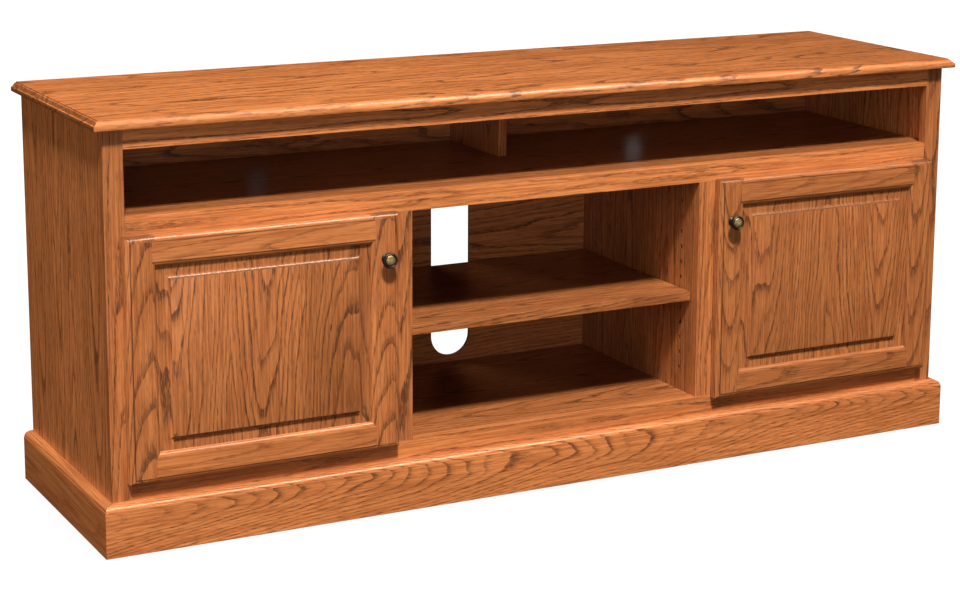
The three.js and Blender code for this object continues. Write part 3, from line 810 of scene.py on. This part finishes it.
def make_door_panels():
    """Each door's raised panel, in the groove of its frame."""
    # Each panel's brightness factor is partly its own tone and partly painted light.
    for hand, seed, tone_and_painted_light in (("left", 84, 0.81), ("right", 94, 0.84)):
        node = f"{hand}_door_panel"
        low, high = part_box(node)
        cut = cut_of(node, GRAIN_Z, stave=0.142, seed=seed)
        wood = oak(f"oak_{node}", cut, taper=0.060, ring=0.0062, wobble=0.04, tone_and_painted_light=tone_and_painted_light)
        bm = moulded_slab(low, high, raised_edge(low, high), normal=1)
        link(f"{hand}_raised_panel", bm, f"{hand}_door", wood, "oak", node, smooth=25)


def painted_quirk_shade(hand, axis):
    """Painted shade along the quirk that runs around a door, at both ends of an axis."""
    stiles = [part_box(f"{hand}_door_{member}") for member in ("hinge_stile", "lock_stile")]
    low = min(box[0][axis] for box in stiles)
    high = max(box[1][axis] for box in stiles)
    return [
        (axis, low + DOOR_QUIRK_INSET, DOOR_QUIRK_SHADE_HALF),
        (axis, high - DOOR_QUIRK_INSET, DOOR_QUIRK_SHADE_HALF),
    ]


def dress_doors():
    """The four frame members of each door."""
    # Each door's brightness factor is partly its own tone and partly painted light; its top rail is
    # made lighter still, as painted light.
    for hand, seed, tone_and_painted_light in (("left", 80, 0.96), ("right", 90, 0.83)):
        upright, level = painted_quirk_shade(hand, 0), painted_quirk_shade(hand, 2)
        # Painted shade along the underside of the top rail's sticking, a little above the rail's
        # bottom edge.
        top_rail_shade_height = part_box(f"{hand}_door_top_rail")[0].z + TOP_RAIL_SHADE_RISE
        painted_shade_under_top_rail = (2, top_rail_shade_height, 1.0 * MM)
        members = {
            "hinge_stile": (GRAIN_Z, upright, {"taper": 0.090, "ring": 0.0085, "tone_and_painted_light": tone_and_painted_light}),
            "lock_stile": (GRAIN_Z, upright, {"taper": 0.10, "ring": 0.0075, "tone_and_painted_light": tone_and_painted_light}),
            "top_rail": (
                GRAIN_X, [*level, painted_shade_under_top_rail], {"contrast": 0.6, "tone_and_painted_light": 1.14 * tone_and_painted_light},
            ),
            "bottom_rail": (GRAIN_X, level, {"contrast": 0.7, "tone_and_painted_light": tone_and_painted_light}),
        }
        for number, (member, (grain, painted_shade_lines, looks)) in enumerate(members.items(), seed):
            node = f"{hand}_door_{member}"
            wood = oak(f"oak_{node}", cut_of(node, grain, seed=number), painted_shade_lines=painted_shade_lines, **looks)
            dress(node, wood, SHARP)


# ---------------------------------------------------------------- knobs, screws and wires


def knob_profile():
    """A mushroom knob's (radius, height) points in millimetres: stem, rim, groove and face."""
    stem = [(9, 0), (9, 1.5), (8.6, 2.2), (7, 3.5), (6.25, 6.5), (7, 10), (9, 11.8), (11.4, 13.1)]
    rim = [(13.6, 15.0), (14.5, 17.6), (14.3, 20.0), (13.4, 21.6), (12.2, 22.2), (11.3, 22.0)]
    face = [(10.7, 21.4), (10.1, 21.6), (9, 22.5), (7, 23.4), (4.5, 24.2), (2, 24.7)]
    return stem + rim + face


def make_knobs(steel):
    """Each door's turned knob, and the screw that holds it from the back of the door."""
    for hand in ("left", "right"):
        low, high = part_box(f"{hand}_knob")
        middle = (low + high) / 2
        base = Vector((middle.x, high.y, middle.z))
        reach = high.y - low.y
        curve = [(r * MM, h * MM) for r, h in smooth_profile(knob_profile(), 3)]
        rim = (high.x - low.x) / 2
        curve = [(min(r, rim), min(h, reach)) for r, h in curve]
        bm = bmesh.new()
        turned_piece(bm, [(0, 0), *curve, (0, reach)], base, (0, -1, 0), 72)
        face = Vector((middle.x, low.y, middle.z))
        brass = antique_brass(f"antique_brass_{hand}", face, 10.6 * MM, rim)
        link(f"{hand}_door_knob", bm, f"{hand}_door", brass, "brass", f"{hand}_knob", smooth=50)

        head = 2.5 * MM
        seat = Vector((middle.x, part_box(f"{hand}_knob_screw")[1].y - head, middle.z))
        shank = [(r * MM, h * MM) for r, h in ((0, -0.2), (2, -0.2), (2, 29), (1.4, 30), (0, 30))]
        bm = bmesh.new()
        screw(bm, seat, (0, 1, 0), 4.5 * MM, head)
        turned_piece(bm, shank, seat, (0, -1, 0), 24)
        link(f"{hand}_knob_fixing", bm, f"{hand}_door", steel, "steel", f"{hand}_knob_screw")


def screw(bm, seat, axis, radius, height):
    """A round-topped screw head with a cross recess, standing on its seat."""
    axis = Vector(axis)
    turn = Vector((0, 0, 1)).rotation_difference(axis).to_matrix()
    segments = 32
    cross = radius * 0.55
    rings = []
    for share, rise in ((1.0, 0.0), (1.0, 0.35), (0.93, 0.68), (0.78, 0.88)):
        outline = circle((0, 0), radius * share, segments)
        points = [seat + turn @ Vector((x, y, height * rise)) for x, y in outline]
        rings.append(ring_of(bm, points))
    bridge(bm, rings)
    bm.faces.new(rings[0])
    for level, scale in ((1.0, 1.0), (0.45, 0.8)):
        ring = []
        for i in range(segments):
            a = 2 * math.pi * i / segments
            lobe = cross * scale * (0.34 + 0.66 * abs(math.cos(2 * a)) ** 3)
            ring.append((lobe * math.cos(a), lobe * math.sin(a), height * level))
        rings.append(ring_of(bm, [seat + turn @ Vector(p) for p in ring]))
    bridge(bm, rings[3:])
    bm.faces.new(rings[-1])


def make_wires(steel):
    """Each shelf's two bent wires, drawn round at their corners."""
    for shelf in ("centre", "left", "right"):
        for side, into in (("left", -1), ("right", 1)):
            node = f"{shelf}_shelf_wire_{side}"
            low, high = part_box(node)
            radius = (high.z - low.z) / 2
            level = (high.z + low.z) / 2
            tip = low.x if into < 0 else high.x
            leg = (high.x - radius) if into < 0 else (low.x + radius)
            front, rear = low.y + radius, high.y - radius
            corners = [(tip, front), (leg, front), (leg, rear), (tip, rear)]
            path = bent_path(corners, WIRE_BEND)
            bm = bmesh.new()
            tube(bm, [Vector((x, y, level)) for x, y in path], radius)
            link(f"{shelf}_shelf_pin_wire_{side}", bm, "carcass", steel, "steel", node, smooth=60)


def bent_path(corners, bend, steps=6):
    """A flat path with its inner corners rounded."""
    path = [corners[0]]
    for before, corner, after in zip(corners, corners[1:], corners[2:]):
        a, c, b = Vector(before), Vector(corner), Vector(after)
        start = c + (a - c).normalized() * bend
        end = c + (b - c).normalized() * bend
        for i in range(steps + 1):
            t = i / steps
            path.append(tuple(start * (1 - t) ** 2 + c * (2 * t * (1 - t)) + end * t * t))
    return [*path, corners[-1]]


def tube(bm, path, radius, sides=20):
    """A round rod along a level path, with closed ends."""
    rings = []
    for i, point in enumerate(path):
        ahead = path[min(i + 1, len(path) - 1)] - path[max(i - 1, 0)]
        across = Vector((0, 0, 1)).cross(ahead).normalized()
        rings.append(ring_of(bm, [
            point + across * (radius * math.cos(a)) + Vector((0, 0, radius * math.sin(a)))
            for a in (2 * math.pi * k / sides for k in range(sides))
        ]))
    bridge(bm, rings)
    bm.faces.new(rings[0])
    bm.faces.new(rings[-1])


# ---------------------------------------------------------------- hinges and bumpers


def dress_hinges(steel):
    """The concealed hinges' plates, links and cups, with the screws that hold them."""
    for hand in ("left", "right"):
        for place in ("lower", "upper"):
            for part in ("plate", "link", "cup"):
                dress(f"{hand}_{place}_hinge_{part}", steel, 0.25 * MM)
            add_hinge_screws(hand, place, steel)


def add_hinge_screws(hand, place, steel):
    """The screws that hold a hinge: two in the cup's flange and two in the plate."""
    low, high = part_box(f"{hand}_{place}_hinge_cup")
    inward = 1 if hand == "left" else -1
    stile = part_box(f"{hand}_door_hinge_stile")
    edge = stile[0].x if inward > 0 else stile[1].x
    back = stile[1].y
    height = (low.z + high.z) / 2
    bm = bmesh.new()
    for rise in (-CUP_SCREW_RISE, CUP_SCREW_RISE):
        seat = Vector((edge + inward * CUP_SCREW_INSET, back + 1.5 * MM, height + rise))
        screw(bm, seat, (0, 1, 0), 3.2 * MM, 0.45 * MM)
    link(f"{hand}_{place}_cup_screws", bm, f"{hand}_door", steel, "steel")

    low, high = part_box(f"{hand}_{place}_hinge_plate")
    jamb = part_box(f"{hand}_stile")[1].x if inward > 0 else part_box(f"{hand}_stile")[0].x
    middle = (low.z + high.z) / 2
    bm = bmesh.new()
    for rise in (-PLATE_SCREW_RISE, PLATE_SCREW_RISE):
        seat = Vector((jamb + inward * 2 * MM, high.y - PLATE_SCREW_BACK, middle + rise))
        screw(bm, seat, (inward, 0, 0), 3.2 * MM, 1.6 * MM)
    link(f"{hand}_{place}_plate_screws", bm, "carcass", steel, "steel")


def make_bumpers(vinyl):
    """Two clear bumpers on the back of each door, by its free edge."""
    domed = ((0, 0), (4, 0), (4, 0.6), (3.2, 1.3), (1.6, 1.7), (0, 1.8))
    dome = [(r * MM, h * MM) for r, h in domed]
    for hand in ("left", "right"):
        low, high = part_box(f"{hand}_door_lock_stile")
        x = high.x - 7 * MM if hand == "left" else low.x + 7 * MM
        bm = bmesh.new()
        for z in (low.z + 9 * MM, high.z - 9 * MM):
            turned_piece(bm, dome, Vector((x, high.y, z)), (0, 1, 0), 32)
        link(f"{hand}_door_bumpers", bm, f"{hand}_door", vinyl, "steel", smooth=60)


def make_back_brads(steel):
    """The small round-headed nails that hold the back board to the carcass."""
    low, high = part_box("back_panel")
    inset = 8 * MM
    spaces_along, spaces_up = 12, 5
    places = []
    for k in range(spaces_along + 1):
        x = low.x + inset + (high.x - low.x - 2 * inset) * k / spaces_along
        places += [(x, high.z - inset), (x, low.z + inset)]
    for k in range(1, spaces_up):
        z = low.z + (high.z - low.z) * k / spaces_up
        places += [(low.x + inset, z), (high.x - inset, z)]
    domed = ((0, 0), (2.2, 0), (2.0, 0.4), (1.1, 0.7), (0, 0.8))
    head = [(r * MM, h * MM) for r, h in domed]
    bm = bmesh.new()
    for x, z in places:
        turned_piece(bm, head, Vector((x, high.y, z)), (0, 1, 0), 16)
    link("back_brads", bm, "carcass", steel, "steel", smooth=60)


# ---------------------------------------------------------------- the studio


def direction(azimuth, elevation):
    """The way a camera looks at that azimuth, measured from +Y towards +X, and elevation."""
    a, e = math.radians(azimuth), math.radians(elevation)
    return Vector((math.sin(a) * math.cos(e), math.cos(a) * math.cos(e), -math.sin(e)))


def make_camera():
    """The camera, which looks at the cabinet from the front and its left."""
    forward = direction(CAMERA_AZIMUTH, CAMERA_ELEVATION)
    level = forward.cross(Vector((0, 0, 1))).normalized()
    upright = level.cross(forward)
    roll = math.radians(CAMERA_ROLL)
    right = level * math.cos(roll) + upright * math.sin(roll)
    up = upright * math.cos(roll) - level * math.sin(roll)
    data = bpy.data.cameras.new("camera")
    data.sensor_width = 36
    data.lens = CAMERA_LENS
    data.shift_x, data.shift_y = CAMERA_SHIFT
    data.clip_end = 200
    camera = bpy.data.objects.new("camera", data)
    axes = Matrix((right, up, -forward)).transposed().to_4x4()
    camera.matrix_world = Matrix.Translation(CAMERA_PLACE) @ axes
    bpy.context.scene.collection.objects.link(camera)
    bpy.context.scene.camera = camera


def shine(name, kind, azimuth, elevation, power, distance=0.0):
    """A light aimed at the cabinet's middle, shining the way that azimuth and elevation say."""
    data = bpy.data.lights.new(name, kind)
    data.energy = power
    towards = direction(azimuth, elevation)
    light = bpy.data.objects.new(name, data)
    light.rotation_mode = "QUATERNION"
    light.rotation_quaternion = towards.to_track_quat("-Z", "Y")
    light.location = LAMPS_AIM - towards * distance
    light.visible_camera = False
    bpy.context.scene.collection.objects.link(light)
    return light


def add_lamp(name, azimuth, elevation, distance, size, power):
    """A large flat lamp. Only some of the lamps show in the lacquer."""
    lamp = shine(name, "AREA", azimuth, elevation, power, distance)
    lamp.data.shape = "RECTANGLE"
    lamp.data.size, lamp.data.size_y = size
    lamp.visible_glossy = name in REFLECTED_LAMPS
    return lamp


def make_lights():
    """A sun for the key, large lamps for the rest, and a weak white world."""
    key = shine("key", "SUN", KEY_AZIMUTH, KEY_ELEVATION, KEY_STRENGTH)
    key.data.angle = math.radians(KEY_ANGLE)
    for name, box in LAMPS.items():
        add_lamp(name, **box)
    softbox = add_lamp("softbox", **SOFTBOX)
    softbox.visible_diffuse = False
    softbox.data.color = WARM_WHITE

    world = bpy.data.worlds.new("studio")
    world.use_nodes = True
    background = world.node_tree.nodes["Background"]
    background.inputs["Color"].default_value = (1, 1, 1, 1)
    background.inputs["Strength"].default_value = AMBIENT
    world.cycles_visibility.glossy = False
    bpy.context.scene.world = world
    bpy.context.scene.view_settings.view_transform = "Standard"


def glowing(name, strength):
    """A white that gives off light evenly."""
    net = Net(name)
    net.set(Base_Color=(0, 0, 0, 1), Emission_Color=(1, 1, 1, 1), Emission_Strength=strength)
    return net.material


def stage_piece(name, bm, material):
    """Something to stand the cabinet on or in front of. It is seen, but sheds no light on it."""
    mesh = bpy.data.meshes.new(name)
    bm.to_mesh(mesh)
    bm.free()
    mesh.materials.append(material)
    piece = bpy.data.objects.new(name, mesh)
    piece.visible_diffuse = False
    piece.visible_glossy = False
    bpy.context.scene.collection.objects.link(piece)
    return piece


def make_stage():
    """The floor, the backdrop, and the cards that the upper deck reflects."""
    bm = bmesh.new()
    bmesh.ops.create_grid(bm, x_segments=4, y_segments=4, size=BACKDROP_RADIUS)
    stage_piece("floor", bm, floor_paper())
    bm = bmesh.new()
    bmesh.ops.create_icosphere(bm, subdivisions=4, radius=BACKDROP_RADIUS)
    stage_piece("backdrop", bm, glowing("studio_backdrop", 1.0)).visible_shadow = False

    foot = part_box("upper_deck")[1].z
    head = foot + CARD_HEIGHT
    for hand, end, strength in (("left", -CARD_REACH, 0.08), ("right", CARD_REACH, 0.32)):
        low, high = sorted((0, end))
        bm = bmesh.new()
        corners = ((low, foot), (high, foot), (high, head), (low, head))
        bm.faces.new([bm.verts.new((x, CARD_Y, z)) for x, z in corners])
        card = stage_piece(f"{hand}_card", bm, glowing(f"{hand}_card", strength))
        card.visible_camera = False
        card.visible_shadow = False
        card.visible_glossy = True


# ---------------------------------------------------------------- everything together


def main():
    make_camera()
    make_lights()
    make_stage()
    make_top()
    make_bored_panels()
    make_back()
    dress_boards()
    dress_bare_wood()
    dress_doors()
    make_door_panels()
    steel = nickel()
    make_knobs(steel)
    make_wires(wire_steel())
    dress_hinges(steel)
    make_bumpers(clear_vinyl())
    make_back_brads(steel)


main()
